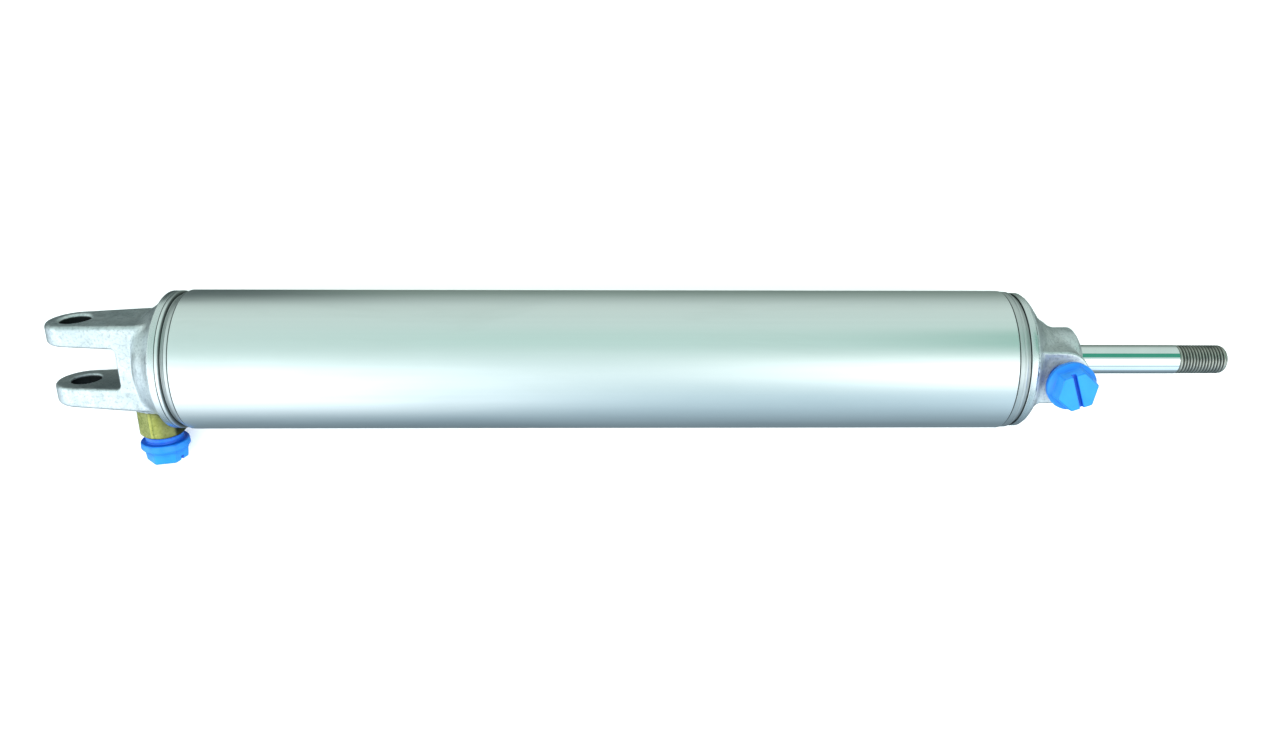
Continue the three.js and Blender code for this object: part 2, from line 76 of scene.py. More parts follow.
# Ports
PORT_R = 6.6
PORT_FLOOR = 14.4
PORT_SHANK_R = 6.3
REAR_PORT_X = 32.8
REAR_SEAT = 23.4
REAR_SEAT_R = 11.4
REAR_BOSS_R = 11.9
ADAPTER_START = 24.6
ADAPTER_TOP = 38.2
ADAPTER_FLATS = 19.0
ADAPTER_TURN = 36.0
ADAPTER_SKIRT = REAR_SEAT + 0.3
ADAPTER_SEAL_R = 9.1
ADAPTER_HOLE = 11.0
FRONT_PORT_X = 463.9
FRONT_FACE = 26.0
FRONT_SEAT = 30.0
FRONT_BOSS_R = 13.2

# Plugs, measured outwards from where their shoulders stand
NECK_R = 8.8
NECK = 3.2
FLANGE_R = 11.4
FLANGE = 8.0
PLUG_FLATS = 17.0
PLUG_TOP = 13.9
PLUG_SHANK = 10.0
PLUG_SLOT_HALF = 0.75
PLUG_SLOT_DEPTH = 2.2
REAR_PLUG_TURN = -75.0
FRONT_PLUG_TURN = 20.0

# Caps
CASTING_GAP = 3.6  # from the tube's end to the casting, filled by the land
REAR_LAND_R = 32.9
FRONT_LAND_R = 32.4
NOSE_R = 15.7
NOSE_MOUTH_R = 7.8
# The front casting is solid behind its mouth, and the rod runs through that solid:
# the gland's bore is missing
MOUTH_FLOOR = 466.0

# How far from a surface its surroundings are felt, where painted shade, and beside the front plug painted
# light, is worked out
REACHES = (0.7, 1.6, 3.5)
PLUG_REACHES = (0.7, 1.6, 3.5, 7)
BESIDE_PLUG_REACHES = (1.6, 3.5, 7)

# Rod
THREAD_PITCH = 1.5
THREAD_MAJOR = 6.95
THREAD_MINOR = 6.1
THREAD_LENGTH = 24.7
TIP_R = 3.6

FLOOR_HALF = 12.0


def mount_axis(name):
    """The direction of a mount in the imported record."""
    mounts = {mount["name"]: mount for mount in frame["record"]["mounts"]}
    return Vector(mounts[name]["axis"])


TUBE_LOW, TUBE_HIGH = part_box("barrel_tube")
PIN_AXIS = mount_axis("clevis_outer_face_up")
AXIS_POINT = Vector((
    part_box("rear_cap")[0].x + EAR_TIP * MM,
    (TUBE_LOW.y + TUBE_HIGH.y) / 2,
    (TUBE_LOW.z + TUBE_HIGH.z) / 2,
))
CYLINDER = Matrix.Translation(AXIS_POINT) @ Matrix.Rotation(math.atan2(PIN_AXIS.z, PIN_AXIS.y), 4, "X")


def along(value):
    """A row x in metres, as millimetres along the cylinder."""
    return (value - AXIS_POINT.x) / MM


TUBE_START = along(TUBE_LOW.x)
TUBE_END = along(TUBE_HIGH.x)
TUBE_R = (TUBE_HIGH.z - TUBE_LOW.z) / 2 / MM
BORE_R = TUBE_R - 2
NOSE_END = along(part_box("front_cap")[1].x)
ROD_TIP = along(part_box("piston_rod")[1].x)
ROD_BACK = along(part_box("piston_front_half")[1].x)
ROD_R = 7.0
THREAD_START = ROD_TIP - THREAD_LENGTH


# Meshes

def piece(name, verts, faces, body, material, replaces=(), sharp=32, crowd=None):
    """Makes an object of local points in millimetres and faces, and lets it ride on a body.

    crowd says how closed in each point is, from 0 in the open to 1 deep in a groove or a hole; the materials
    paint shade by it.
    On a casting, a value below 0 makes the metal duller and lighter, as painted light.
    """
    mesh = bpy.data.meshes.new(name)
    mesh.from_pydata((np.asarray(verts, float) * MM).tolist(), [], [tuple(map(int, face)) for face in faces])
    mesh.transform(CYLINDER)
    mesh.shade_smooth()
    mesh.set_sharp_from_angle(angle=math.radians(sharp))
    if crowd is not None:
        mesh.attributes.new("crowding", "FLOAT", "POINT").data.foreach_set("value", crowd.astype(np.float32))
    mesh.update()
    made = bpy.data.objects.new(name, mesh)
    bpy.context.collection.objects.link(made)
    made.data.materials.append(material)
    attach(made, body)
    if replaces:
        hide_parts(*replaces)
    return made


def crowding(field, verts, faces, reaches=REACHES):
    """How closed in each point is by the solid whose field this is."""
    triangles = np.array([(face[0], face[k], face[k + 1]) for face in faces for k in range(1, len(face) - 1)])
    a, b, c = (verts[triangles[:, k]] for k in range(3))
    normals = np.zeros_like(verts)
    for k in range(3):
        np.add.at(normals, triangles[:, k], np.cross(b - a, c - a))
    normals /= np.maximum(np.linalg.norm(normals, axis=1), 1e-12)[:, None]
    total = sum(np.clip(1 - field(*(verts + normals * reach).T) / reach, 0, 1.5) for reach in reaches)
    return np.clip(total / len(reaches), 0, 1)


def turned_field(*profiles):
    """The field of closed (x, radius) profiles turned about the x axis."""
    def field(x, y, z):
        radius = np.hypot(y, z)
        return np.min([outline_field(x, radius, profile) for profile in profiles], axis=0)
    return field


def filleted(corners, step=12):
    """Points along an outline of (x, radius, fillet) corners, with an arc of that fillet at each corner."""
    points = [Vector(corner[:2]) for corner in corners]
    result = []
    for i, corner in enumerate(corners):
        here = points[i]
        fillet = corner[2] if len(corner) > 2 else 0
        if fillet == 0 or i in (0, len(corners) - 1):
            result.append(here)
            continue
        before = (points[i - 1] - here).normalized()
        after = (points[i + 1] - here).normalized()
        half = before.angle(after) / 2
        if half > math.radians(88):
            result.append(here)
            continue
        reach = fillet / math.tan(half)
        centre = here + (before + after).normalized() * (fillet / math.sin(half))
        start = here + before * reach - centre
        end = here + after * reach - centre
        turn = start.angle_signed(end)
        count = max(2, math.ceil(abs(math.degrees(turn)) / step))
        for k in range(count + 1):
            angle = -turn * k / count
            result.append(centre + Matrix.Rotation(angle, 2) @ start)
    return [(point.x, point.y) for point in result]


def turned(profile, segments=192, closed=False):
    """Points and faces of a profile of (x, radius) turned about the x axis.

    An open profile ends on the axis.
    """
    verts = []
    rings = []
    for x, radius in profile:
        if radius < 1e-6:
            rings.append([len(verts)])
            verts.append((x, 0, 0))
            continue
        rings.append(list(range(len(verts), len(verts) + segments)))
        for k in range(segments):
            angle = 2 * math.pi * k / segments
            verts.append((x, radius * math.cos(angle), radius * math.sin(angle)))
    faces = []
    pairs = list(zip(rings, rings[1:] + rings[:1] if closed else rings[1:]))
    for first, second in pairs:
        for k in range(segments):
            after = (k + 1) % segments
            if len(first) == 1 and len(second) == 1:
                continue
            if len(first) == 1:
                faces.append((first[0], second[after], second[k]))
            elif len(second) == 1:
                faces.append((first[k], first[after], second[0]))
            else:
                faces.append((first[k], first[after], second[after], second[k]))
    return outward(np.array(verts), faces)


def outward(verts, faces):
    """The same points and faces, turned over if they face inwards."""
    volume = 0.0
    for face in faces:
        for k in range(1, len(face) - 1):
            volume += np.dot(verts[face[0]], np.cross(verts[face[k]], verts[face[k + 1]]))
    if volume < 0:
        faces = [tuple(reversed(face)) for face in faces]
    return verts, faces


# Distance fields, negative inside, for cast and moulded shapes

def smooth_min(a, b, blend):
    """The union of two fields, with a fillet where they meet."""
    share = np.clip(0.5 + 0.5 * (b - a) / blend, 0, 1)
    return b * (1 - share) + a * share - blend * share * (1 - share)


def smooth_max(a, b, blend):
    """The intersection of two fields, with a rounded edge."""
    return -smooth_min(-a, -b, blend)


def outline_field(u, v, points):
    """Distance to a closed polygon of (u, v) points."""
    points = np.asarray(points, float)
    nearest = np.full(u.shape, np.inf)
    sign = np.ones(u.shape)
    for i in range(len(points)):
        ax, ay = points[i]
        bx, by = points[i - 1]
        ex, ey = bx - ax, by - ay
        wx, wy = u - ax, v - ay
        t = np.clip((wx * ex + wy * ey) / (ex * ex + ey * ey), 0, 1)
        nearest = np.minimum(nearest, (wx - ex * t) ** 2 + (wy - ey * t) ** 2)
        above = v >= ay
        below = v < by
        left = ex * wy > ey * wx
        crossing = (above & below & left) | (~above & ~below & ~left)
        sign = np.where(crossing, -sign, sign)
    return sign * np.sqrt(nearest)


def surface(field, low, high, step):
    """Points and faces of a field's zero surface in a box, by surface nets.

    Each point is then moved onto the surface.
    """
    axes = [np.arange(low[k], high[k] + step, step) for k in range(3)]
    grid = np.meshgrid(*axes, indexing="ij")
    value = field(*grid)
    inside = value < 0
    shape = np.array(value.shape) - 1
    corners = [(i, j, k) for i in (0, 1) for j in (0, 1) for k in (0, 1)]

    def shifted(array, corner):
        i, j, k = corner
        return array[i:i + shape[0], j:j + shape[1], k:k + shape[2]]

    count = sum(shifted(inside, corner).astype(np.int8) for corner in corners)
    active = (count > 0) & (count < 8)
    cells = np.argwhere(active)
    number = np.full(active.shape, -1)
    number[tuple(cells.T)] = np.arange(len(cells))
    total = np.zeros((len(cells), 3))
    hits = np.zeros(len(cells))
    for a in corners:
        for axis in range(3):
            if a[axis]:
                continue
            b = tuple(1 if k == axis else a[k] for k in range(3))
            first = value[tuple((cells + a).T)]
            second = value[tuple((cells + b).T)]
            cut = (first < 0) != (second < 0)
            share = np.where(cut, first / np.where(cut, first - second, 1), 0)
            place = cells + np.array(a, float)
            place[:, axis] += share
            total[cut] += place[cut]
            hits[cut] += 1
    verts = np.array(low) + step * total / hits[:, None]
    for _ in range(3):
        here = field(*verts.T)
        slope = np.stack([
            (field(*(verts + shift).T) - field(*(verts - shift).T)) / (2 * 0.02)
            for shift in np.eye(3) * 0.02
        ], axis=1)
        move = here[:, None] * slope / np.maximum((slope ** 2).sum(1), 0.2)[:, None]
        verts = verts - np.clip(move, -0.4 * step, 0.4 * step)
    faces = []
    for axis in range(3):
        one = [slice(None)] * 3
        two = [slice(None)] * 3
        one[axis] = slice(0, -1)
        two[axis] = slice(1, None)
        first = inside[tuple(one)]
        second = inside[tuple(two)]
        u, v = [(axis + 1) % 3, (axis + 2) % 3]
        places = np.argwhere(first != second)
        keep = (places[:, u] > 0) & (places[:, v] > 0) & (places[:, u] < shape[u]) & (places[:, v] < shape[v])
        places = places[keep]
        out = first[tuple(places.T)]
        step_u = np.eye(3, dtype=int)[u]
        step_v = np.eye(3, dtype=int)[v]
        quad = np.stack([
            number[tuple((places - step_u - step_v).T)],
            number[tuple((places - step_v).T)],
            number[tuple(places.T)],
            number[tuple((places - step_u).T)],
        ], axis=1)
        quad[~out] = quad[~out][:, ::-1]
        faces.append(quad)
    return verts, np.concatenate(faces)


# Materials

class Paint:
    """A material's node tree, with a shorthand for adding and linking nodes."""

    def __init__(self, name, colour, metallic, roughness, **sockets):
        self.material = bpy.data.materials.new(name)
        self.material.use_nodes = True
        self.tree = self.material.node_tree
        self.shader = self.tree.nodes["Principled BSDF"]
        self.shader.inputs["Base Color"].default_value = (*colour, 1)
        self.shader.inputs["Metallic"].default_value = metallic
        self.shader.inputs["Roughness"].default_value = roughness
        for socket, value in sockets.items():
            self.shader.inputs[socket.replace("_", " ")].default_value = value
        self.coordinates = self.tree.nodes.new("ShaderNodeTexCoord").outputs["Object"]

    def node(self, kind, links=None, **settings):
        made = self.tree.nodes.new(kind)
        for key, value in settings.items():
            setattr(made, key, value)
        for socket, source in (links or {}).items():
            if isinstance(source, bpy.types.NodeSocket):
                self.tree.links.new(source, made.inputs[socket])
            else:
                made.inputs[socket].default_value = source
        return made

    def noise(self, scale, detail=3, roughness=0.5, stretch=(1, 1, 1), distortion=0):
        mapped = self.node("ShaderNodeMapping", {"Vector": self.coordinates, "Scale": stretch})
        made = self.node("ShaderNodeTexNoise", {
            "Vector": mapped.outputs["Vector"],
            "Scale": scale,
            "Detail": detail,
            "Roughness": roughness,
            "Distortion": distortion,
        })
        return made.outputs["Fac"]

    def ramp(self, source, low, high, out_low, out_high):
        made = self.node("ShaderNodeMapRange", {
            "Value": source, "From Min": low, "From Max": high, "To Min": out_low, "To Max": out_high,
        })
        return made.outputs["Result"]

    def add(self, first, second):
        made = self.node("ShaderNodeMath", operation="ADD")
        self.tree.links.new(first, made.inputs[0])
        self.tree.links.new(second, made.inputs[1])
        return made.outputs["Value"]

    def crowd(self, low, high, most):
        """How closed in the surface is, from 0 at low to most at high."""
        attribute = self.node("ShaderNodeAttribute", attribute_name="crowding").outputs["Fac"]
        return self.ramp(attribute, low, high, 0, most)

    def painted_shade_in_hollows(self, base, rough, dark, low=0.12, high=0.75):
        """Uses a colour and a roughness, duller where the surface is closed in, and darker there as painted
        shade.
        """
        depth = self.crowd(low, high, 1)
        self.use("Base Color", self.mix(depth, base, (dark * 0.9, dark, dark)))
        self.use("Roughness", self.add(rough, self.ramp(depth, 0, 1, 0, 0.2)))

    def mix(self, factor, first, second, blend="MIX"):
        made = self.node("ShaderNodeMix", data_type="RGBA", blend_type=blend)
        for index, value in ((0, factor), (6, first), (7, second)):
            if isinstance(value, bpy.types.NodeSocket):
                self.tree.links.new(value, made.inputs[index])
            else:
                made.inputs[index].default_value = (*value, 1) if isinstance(value, tuple) else value
        return made.outputs[2]

    def bump(self, height, distance, strength=1.0, normal=None):
        links = {"Height": height, "Distance": distance, "Strength": strength}
        if normal is not None:
            links["Normal"] = normal
        return self.node("ShaderNodeBump", links).outputs["Normal"]

    def use(self, socket, source):
        self.tree.links.new(source, self.shader.inputs[socket])


def drawn_aluminium():
    """Aluminium drawn lengthwise, with fine lines, faint smudges and a few scratches."""
    paint = Paint("drawn_aluminium", (0.85, 0.875, 0.87), 1.0, 0.35)
    lines = paint.noise(1.0, 2, 0.6, (1.5, 420, 420))
    bands = paint.noise(1.0, 2, 0.5, (1.5, 70, 70))
    smudge = paint.noise(20, 4, 0.6, (0.35, 1.6, 1.6), 0.8)
    scratches = paint.noise(1.0, 3, 0.7, (9, 700, 700), 0.3)
    base = paint.mix(paint.ramp(bands, 0.3, 0.7, 0, 1), (0.81, 0.84, 0.835), (0.88, 0.9, 0.895))
    base = paint.mix(paint.ramp(lines, 0.35, 0.65, 0, 0.12), base, (0.7, 0.74, 0.73))
    base = paint.mix(paint.ramp(smudge, 0.52, 0.72, 0, 0.32), base, (0.68, 0.71, 0.69))
    base = paint.mix(paint.ramp(scratches, 0.7, 0.78, 0, 0.35), base, (0.6, 0.64, 0.63))
    rough = paint.add(paint.ramp(smudge, 0.35, 0.75, 0.32, 0.4), paint.ramp(lines, 0.3, 0.7, -0.02, 0.02))
    # Painted shade: the tube darker where it is closed in, in its rolled grooves and next to the caps' lands
    paint.painted_shade_in_hollows(base, rough, 0.1)
    return paint.material


def cast_aluminium():
    """A tumbled casting, with a fine mottled grain and soft lumps."""
    paint = Paint("cast_aluminium", (0.74, 0.78, 0.78), 0.96, 0.5)
    grain = paint.noise(800, 3, 0.65)
    lumps = paint.noise(330, 3, 0.6)
    cloud = paint.noise(70, 4, 0.6)
    base = paint.mix(paint.ramp(cloud, 0.3, 0.7, 0, 1), (0.58, 0.63, 0.65), (0.76, 0.79, 0.8))
    base = paint.mix(paint.ramp(grain, 0.5, 0.66, 0, 0.6), base, (0.36, 0.4, 0.42))
    base = paint.mix(paint.ramp(lumps, 0.56, 0.72, 0, 0.35), base, (0.42, 0.47, 0.49))
    # Painted shade: the casting near black where it is closed in, in the slot, the pin holes and its corners
    paint.painted_shade_in_hollows(base, paint.ramp(lumps, 0.3, 0.7, 0.36, 0.5), 0.03, 0.34, 0.9)
    # Painted light: where the crowding is below 0, beside the front plug, the metal is less metallic and so
    # lighter, against the plug's shadow and blue reflection
    painted_light = paint.crowd(0, -0.45, 1)
    paint.use("Metallic", paint.ramp(painted_light, 0, 1, 0.96, 0.45))
    first = paint.bump(lumps, 0.0003, 0.7)
    paint.use("Normal", paint.bump(grain, 0.00012, 0.7, first))
    return paint.material


def machined_aluminium():
    paint = Paint("machined_aluminium", (0.76, 0.79, 0.79), 1.0, 0.3)
    lines = paint.noise(1.0, 2, 0.5, (4000, 30, 30))
    cloud = paint.noise(80, 3, 0.5)
    base = paint.mix(paint.ramp(cloud, 0.3, 0.7, 0, 1), (0.7, 0.74, 0.74), (0.8, 0.83, 0.83))
    # Painted shade: the land darker where the tube closes it in
    paint.painted_shade_in_hollows(base, paint.ramp(lines, 0.3, 0.7, 0.22, 0.34), 0.1)
    return paint.material


def brass():
    paint = Paint("brass", (0.3, 0.27, 0.08), 1.0, 0.3)
    lines = paint.noise(1.0, 2, 0.5, (300, 1500, 300))
    stain = paint.noise(260, 4, 0.65, (1, 1, 1), 0.5)
    specks = paint.noise(1000, 3, 0.7)
    base = paint.mix(paint.ramp(stain, 0.35, 0.7, 0, 1), (0.31, 0.32, 0.07), (0.54, 0.53, 0.17))
    base = paint.mix(paint.ramp(specks, 0.52, 0.68, 0, 0.6), base, (0.2, 0.2, 0.03))
    # Painted shade: the brass darker where the casting and the tube close it in
    paint.painted_shade_in_hollows(base, paint.ramp(stain, 0.3, 0.7, 0.22, 0.36), 0.05, 0.1, 0.8)
    paint.use("Normal", paint.bump(lines, 0.00001, 0.5))
    return paint.material


def blue_plastic():
    paint = Paint("blue_plastic", (0.005, 0.24, 0.82), 0.0, 0.36, Specular_IOR_Level=0.5)
    orange_peel = paint.noise(500, 2, 0.5)
    cloud = paint.noise(110, 3, 0.5)
    base = paint.mix(paint.ramp(cloud, 0.3, 0.7, 0, 1), (0.008, 0.25, 0.8), (0.014, 0.3, 0.9))
    # Painted shade: the plug deep blue where its flange, its adapter or its casting closes it in
    base = paint.mix(paint.crowd(0.03, 0.42, 0.95), base, (0.0005, 0.09, 0.6))
    paint.use("Base Color", base)
    paint.use("Roughness", paint.ramp(cloud, 0.3, 0.7, 0.3, 0.42))
    paint.use("Normal", paint.bump(orange_peel, 0.00004, 0.5))
    return paint.material


def chromed_steel():
    paint = Paint("chromed_steel", (0.84, 0.865, 0.86), 1.0, 0.06)
    lines = paint.noise(1.0, 2, 0.5, (2500, 60, 60))
    cloud = paint.noise(70, 3, 0.5)
    base = paint.mix(paint.ramp(cloud, 0.3, 0.7, 0, 1), (0.81, 0.84, 0.835), (0.87, 0.89, 0.885))
    paint.use("Base Color", base)
    paint.use("Roughness", paint.ramp(lines, 0.3, 0.7, 0.04, 0.09))
    return paint.material


def zinc_steel():
    paint = Paint("zinc_steel", (0.4, 0.4, 0.36), 1.0, 0.32)
    cloud = paint.noise(260, 3, 0.6)
    base = paint.mix(paint.ramp(cloud, 0.3, 0.7, 0, 1), (0.34, 0.345, 0.31), (0.52, 0.52, 0.46))
    # Painted shade: the thread darker down in its roots
    paint.painted_shade_in_hollows(base, paint.ramp(cloud, 0.3, 0.7, 0.25, 0.38), 0.07)
    return paint.material


def plain(name, dark, light, metallic, rough):
    """A simple finish with a little cloudiness, for the pieces inside the tube."""
    paint = Paint(name, light, metallic, rough)
    cloud = paint.noise(150, 3, 0.5)
    paint.use("Base Color", paint.mix(paint.ramp(cloud, 0.3, 0.7, 0, 1), dark, light))
    paint.use("Roughness", paint.ramp(cloud, 0.3, 0.7, rough - 0.05, rough + 0.05))
    return paint.material


MATERIALS = {
    "drawn_aluminium": drawn_aluminium(),
    "cast_aluminium": cast_aluminium(),
    "machined_aluminium": machined_aluminium(),
    "brass": brass(),
    "blue_plastic": blue_plastic(),
    "chromed_steel": chromed_steel(),
    "zinc_steel": zinc_steel(),
    "sintered_bronze": plain("sintered_bronze", (0.22, 0.13, 0.06), (0.34, 0.22, 0.1), 1.0, 0.55),
    "black_rubber": plain("black_rubber", (0.012, 0.012, 0.012), (0.025, 0.025, 0.025), 0.0, 0.65),
    "polyurethane": plain("polyurethane", (0.04, 0.11, 0.07), (0.06, 0.15, 0.1), 0.0, 0.45),
    "guide_plastic": plain("guide_plastic", (0.5, 0.45, 0.34), (0.6, 0.55, 0.42), 0.0, 0.55),
}


def paint_nodes():
    """Gives every CAD node the material of its slot."""
    for entry in frame["record"]["subparts"]:
        node = frame["nodes"][entry["node"]]
        node.data.materials.clear()
        node.data.materials.append(MATERIALS[entry["material_slot"]])


# Pieces

def land(end, sign, radius):
    """The turned land of a cap, next to the tube's end, as a closed (x, radius) profile."""
    return filleted([
        (end + sign * 6, 28, 0),
        (end + sign * 3.4, 28, 0),
        (end + sign * 3.4, radius, 0.5),
        (end + sign * 0.2, radius, 0.25),
        (end + sign * 0.2, 31.2, 0),
        (end - sign * 1.2, 31.2, 0),
        (end - sign * 1.2, 27, 0),
        (end + sign * 6, 27, 0),
    ])


def tube_profile():
    """The tube, rolled into the caps near both ends. The front end stops short of the cap's land."""
    rear_lip = [
        (0, BORE_R, 0),
        (0, 32.95, 0.25),
        (1.5, 33.0, 0.4),
        (1.9, 31.1, 0.4),
        (3.3, 31.1, 0.5),
        (3.8, 32.4, 0.4),
        (5.4, 32.9, 0.1),
        (5.65, 32.6, 0),
        (5.85, 32.6, 0),
        (6.1, TUBE_R, 0.1),
    ]
    front_lip = [
        (0, BORE_R, 0),
        (0, 31.6, 0.1),
        (1.45, 31.6, 0.3),
        (1.8, 32.9, 0.4),
        (2.7, 32.95, 0.1),
        (2.9, 32.7, 0),
        (3.2, 32.7, 0),
        (3.4, 32.95, 0.1),
        (5.2, 32.95, 0.1),
        (5.45, 32.6, 0),
        (5.65, 32.6, 0),
        (5.9, TUBE_R, 0.1),
    ]
    inside = [(6.4, BORE_R, 0), (4.4, 30.2, 0), (2, 30.2, 0), (1.6, BORE_R, 0)]
    rear = [(TUBE_START + distance, radius, fillet) for distance, radius, fillet in rear_lip]
    front = [(TUBE_END - distance, radius, fillet) for distance, radius, fillet in reversed(front_lip)]
    front_inside = [(TUBE_END - distance, radius, 0) for distance, radius, _ in reversed(inside)]
    rear_inside = [(TUBE_START + distance, radius, 0) for distance, radius, _ in inside]
    return filleted(rear + front + front_inside + rear_inside)


def barrel_tube():
    profile = tube_profile()
    verts, faces = turned(profile, 256, closed=True)
    around = turned_field(profile, land(TUBE_START, -1, REAR_LAND_R), land(TUBE_END, 1, FRONT_LAND_R))
    # Painted shade: darker where the caps' lands close the tube in, and at least somewhat darker all along
    # the rolled grooves
    from_end = np.minimum(verts[:, 0] - TUBE_START, TUBE_END - verts[:, 0])
    rolled = (from_end > 1.2) & (from_end < 5.95)
    crowd = np.maximum(crowding(around, verts, faces), 0.3 * rolled)
    piece("tube_with_rolled_ends", verts, faces, "barrel", MATERIALS["drawn_aluminium"],
          ["barrel_tube"], 40, crowd)


def cap_land(name, node, end, sign, radius):
    profile = land(end, sign, radius)
    verts, faces = turned(profile, 256, closed=True)
    # Painted shade: the land darker where the tube closes it in
    crowd = crowding(turned_field(profile, tube_profile()), verts, faces)
    piece(name, verts, faces, "barrel", MATERIALS["machined_aluminium"], [node], 35, crowd)


def ear_outline():
    """The clevis seen along its pin, as (x, z) points."""
    root = REAR_PORT_X + 8
    points = [(root, -ROOT_HALF_WIDTH), (root, ROOT_HALF_WIDTH), (SLOT_DEPTH + 6, ROOT_HALF_WIDTH)]
    for k in range(25):
        angle = math.pi / 2 + math.pi * k / 24
        points.append((EAR_TIP * math.cos(angle), EAR_HALF_WIDTH * math.sin(angle)))
    return points + [(SLOT_DEPTH + 6, -ROOT_HALF_WIDTH)]


def rear_casting_field(x, y, z):
    radius = np.hypot(y, z)
    face = TUBE_START - CASTING_GAP
    dome = outline_field(x, radius, [
        (face, -5), (face, 31.7), (43.6, 31.4), (42, 29.7), (40, 27.9), (38, 26.5), (36, 25.2),
        (34, 23.6), (32.2, 21.3), (31.2, 18), (31.2, -5),
    ])
    outline = outline_field(x, z, ear_outline())
    half = CLEVIS_HALF + 0.035 * x
    block = smooth_max(outline, np.abs(y) - half, 2.4)
    block = np.maximum(block, x - face)
    body = smooth_min(dome, block, 2.5)
    boss = np.maximum(np.hypot(x - REAR_PORT_X, z) - REAR_BOSS_R, np.maximum(y, -y - REAR_SEAT))
    body = smooth_min(body, boss, 2.5)
    slot_x = np.maximum(x - (SLOT_DEPTH - SLOT_CORNER_R), 0)
    slot_half = SLOT_HALF - 0.012 * (x - 5)
    slot_y = np.maximum(np.abs(y) - (slot_half - SLOT_CORNER_R), 0)
    slot = np.hypot(slot_x, slot_y) - SLOT_CORNER_R
    body = smooth_max(body, -slot, 1.6)
    hole = np.hypot(x, z) - PIN_R
    body = smooth_max(body, -hole, 0.5)
    countersink = hole + np.abs(np.abs(y) - half)
    body = smooth_max(body, COUNTERSINK - countersink, 0.3)
    seat = np.maximum(np.hypot(x - REAR_PORT_X, z) - REAR_SEAT_R, y + REAR_SEAT)
    body = smooth_max(body, -seat, 0.5)
    port = np.maximum(np.hypot(x - REAR_PORT_X, z) - PORT_R, y + PORT_FLOOR)
    return smooth_max(body, -port, 0.5)


def rear_cap():
    low = (-EAR_TIP - 2, -34, -34)
    high = (TUBE_START - 1, 34, 34)
    verts, faces = surface(rear_casting_field, low, high, 0.6)
    # Painted shade in the casting's hollows
    crowd = crowding(rear_casting_field, verts, faces)
    x, y, z = verts.T
    # Painted shade: the pin holes darker deeper in and less so on their side towards the tube, a painted lit
    # side; the slot's inner faces darker all over
    in_pin_hole = np.hypot(x, z) < PIN_R + 0.2
    depth = np.minimum(CLEVIS_HALF - np.abs(y), np.abs(y) - SLOT_HALF)
    towards_tube = np.clip((x - 4) / 2.5, 0, 1)
    hole_and_slot_shade = in_pin_hole * np.clip((depth - 0.3) / 1.2, 0, 0.93) * (1 - 0.45 * towards_tube)
    in_slot = (np.abs(y) < SLOT_HALF + 0.4) & (x < SLOT_DEPTH - 1) & ~in_pin_hole
    hole_and_slot_shade += 0.55 * in_slot
    piece("rear_cap_casting", verts, faces, "barrel", MATERIALS["cast_aluminium"],
          ["rear_cap"], 60, np.maximum(crowd, hole_and_slot_shade))
    cap_land("rear_cap_land", "rear_cap", TUBE_START, -1, REAR_LAND_R)


def front_casting_field(x, y, z):
    radius = np.hypot(y, z)
    face = TUBE_END + CASTING_GAP
    dome = outline_field(x, radius, [
        (face, -5), (face, 31.8), (450.6, 31.5), (452, 29.9), (454, 27.1), (456, 24.4), (458, 21.9),
        (460, 20.3), (462, 19), (464, 17.4), (467, 15.7), (467, -5),
    ])
    nose = outline_field(x, radius, [
        (face, -5), (face, NOSE_R), (475.9, NOSE_R), (477.2, 14.2), (478.7, 11.8),
        (NOSE_END, 9), (NOSE_END, -5),
    ])
    body = smooth_min(dome, nose, 1.5)
    boss = np.hypot(np.maximum(x - FRONT_PORT_X, 0), y) - FRONT_BOSS_R + 0.03 * (z - 14)
    boss = smooth_max(boss, z - FRONT_FACE, 1.0)
    boss = np.maximum(np.maximum(boss, -z), face - x)
    body = smooth_min(body, boss, 2)
    port = np.maximum(np.hypot(x - FRONT_PORT_X, y) - PORT_R, PORT_FLOOR - z)
    body = smooth_max(body, -port, 0.8)
    mouth = np.maximum(radius - NOSE_MOUTH_R, MOUTH_FLOOR - x)
    return smooth_max(body, -mouth, 0.6)


def front_cap():
    low = (TUBE_END + 2, -34, -34)
    high = (NOSE_END + 1.5, 34, 34)
    verts, faces = surface(front_casting_field, low, high, 0.6)
    plug = plug_field(FRONT_PLUG_TURN)

    def with_plug(x, y, z):
        return np.minimum(front_casting_field(x, y, z), plug(z - FRONT_SEAT, x - FRONT_PORT_X, y))

    # Painted shade in the casting's hollows at a third of its strength, and painted light beside the plug:
    # there the crowding falls below 0, which lightens the metal against the plug's shadow
    alone = crowding(front_casting_field, verts, faces)
    beside_plug = crowding(with_plug, verts, faces, BESIDE_PLUG_REACHES) - alone
    crowd = 0.35 * alone - 0.9 * np.clip(beside_plug, 0, 1)
    piece("front_cap_casting", verts, faces, "barrel", MATERIALS["cast_aluminium"],
          ["front_cap"], 60, crowd)
    cap_land("front_cap_land", "front_cap", TUBE_END, 1, FRONT_LAND_R)


def hexagon_field(u, v, flats, turn, blend):
    """A hexagon's field, with one corner at the given angle from u towards v."""
    result = None
    for k in range(6):
        angle = math.radians(turn + 30 + 60 * k)
        side = u * math.cos(angle) + v * math.sin(angle) - flats / 2
        result = side if result is None else smooth_max(result, side, blend)
    return result


